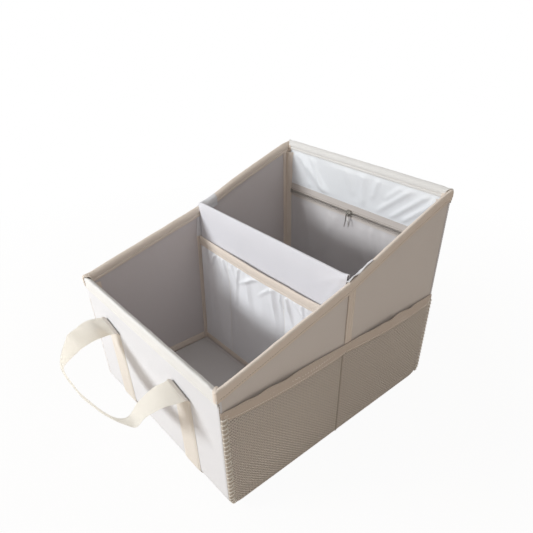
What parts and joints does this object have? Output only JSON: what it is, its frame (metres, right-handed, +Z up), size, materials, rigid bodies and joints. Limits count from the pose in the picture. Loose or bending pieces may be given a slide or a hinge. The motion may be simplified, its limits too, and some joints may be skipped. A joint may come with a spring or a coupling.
{
  "type": "car seat organizer",
  "caption": "Folding cloth organizer box for a car seat, low at the front and high at the back, with a sewn divider, gathered and mesh pockets, a zipped pocket and webbing handles.",
  "frame": {"origin": "on the ground under the middle of the box, halfway between the two handles", "axes": "+Y from the low front to the high back, +X to the right side seen from the front, +Z up"},
  "size_m": [0.3178, 0.5312, 0.297],
  "materials": {
    "outer_cloth": "fine coated weave, matt, pale warm grey",
    "lining": "fine coated weave, slightly shiny, pale grey",
    "binding_tape": "woven tape, matt cream, sewn near its edge",
    "webbing": "ribbed woven webbing, matt cream",
    "pocket_mesh": "knitted mesh with small diamond holes, warm grey",
    "pocket_cloth": "thin shiny cloth, cool white",
    "stiff_board": "pressed board, hidden inside the walls",
    "base_board": "board wrapped in the lining cloth",
    "zip_tape": "woven zip tape, beige",
    "zip_teeth": "nylon coil teeth, satin grey beige",
    "zip_metal": "plated die-cast zinc and steel wire, a little worn"
  },
  "bodies": {
    "box": {"right_front_cloth": "outer_cloth", "left_front_cloth": "outer_cloth", "right_front_board": "stiff_board", "left_front_board": "stiff_board", "right_front_lining": "lining", "left_front_lining": "lining", "right_rear_cloth": "outer_cloth", "left_rear_cloth": "outer_cloth", "right_rear_board": "stiff_board", "left_rear_board": "stiff_board", "right_rear_lining": "lining", "left_rear_lining": "lining", "front_cloth": "outer_cloth", "front_board": "stiff_board", "front_lining": "lining", "back_cloth": "outer_cloth", "back_board": "stiff_board", "back_lining": "lining", "base_cloth": "outer_cloth", "floor_lining": "lining", "right_seam_tape": "binding_tape", "left_seam_tape": "binding_tape", "front_rim_binding": "binding_tape", "back_rim_binding": "binding_tape", "right_rim_binding": "binding_tape", "left_rim_binding": "binding_tape", "right_front_corner_binding": "binding_tape", "left_front_corner_binding": "binding_tape", "right_rear_corner_binding": "binding_tape", "left_rear_corner_binding": "binding_tape", "right_mesh_pocket": "pocket_mesh", "left_mesh_pocket": "pocket_mesh", "right_mesh_binding": "binding_tape", "left_mesh_binding": "binding_tape", "divider_cover": "outer_cloth", "divider_board": "stiff_board", "right_divider_end_binding": "binding_tape", "left_divider_end_binding": "binding_tape", "right_divider_tab": "outer_cloth", "left_divider_tab": "outer_cloth", "divider_pocket": "pocket_cloth", "divider_pocket_binding": "binding_tape", "divider_foot_binding": "binding_tape", "zip_pocket_upper": "lining", "zip_pocket_lower": "lining", "zip_upper_tape": "zip_tape", "zip_lower_tape": "zip_tape", "zip_upper_teeth": "zip_teeth", "zip_lower_teeth": "zip_teeth", "zip_left_stop": "zip_metal", "zip_right_stop": "zip_metal", "left_strap": "webbing", "right_strap": "webbing"},
    "front_handle": {"front_handle": "webbing"},
    "back_handle": {"back_handle": "webbing"},
    "zip_slider": {"zip_slider": "zip_metal"},
    "zip_pull": {"zip_pull": "zip_metal"},
    "front_base_board": {"front_base_board": "base_board"},
    "rear_base_board": {"rear_base_board": "base_board"}
  },
  "joints": [
    {"name": "front_handle_swing", "type": "hinge", "parent": "box", "child": "front_handle", "pos_m": [-0.005, -0.1904, 0.1438], "axis": [-1, 0, 0], "range_deg": [-54, 94]},
    {"name": "back_handle_swing", "type": "hinge", "parent": "box", "child": "back_handle", "pos_m": [-0.005, 0.1904, 0.2568], "axis": [1, 0, 0], "range_deg": [-54, 94]},
    {"name": "zip_slider_travel", "type": "slide", "parent": "box", "child": "zip_slider", "axis": [1, 0, 0], "range_m": [-0.122, 0.13]},
    {"name": "zip_pull_swing", "type": "hinge", "parent": "zip_slider", "child": "zip_pull", "pos_m": [-0.004, 0.16685, 0.222], "axis": [-1, 0, 0], "range_deg": [-8, 170]},
    {"name": "front_base_board_lift", "type": "slide", "parent": "box", "child": "front_base_board", "axis": [0, 0, 1], "range_m": [0, 0.25]},
    {"name": "rear_base_board_lift", "type": "slide", "parent": "box", "child": "rear_base_board", "axis": [0, 0, 1], "range_m": [0, 0.32]}
  ]
}
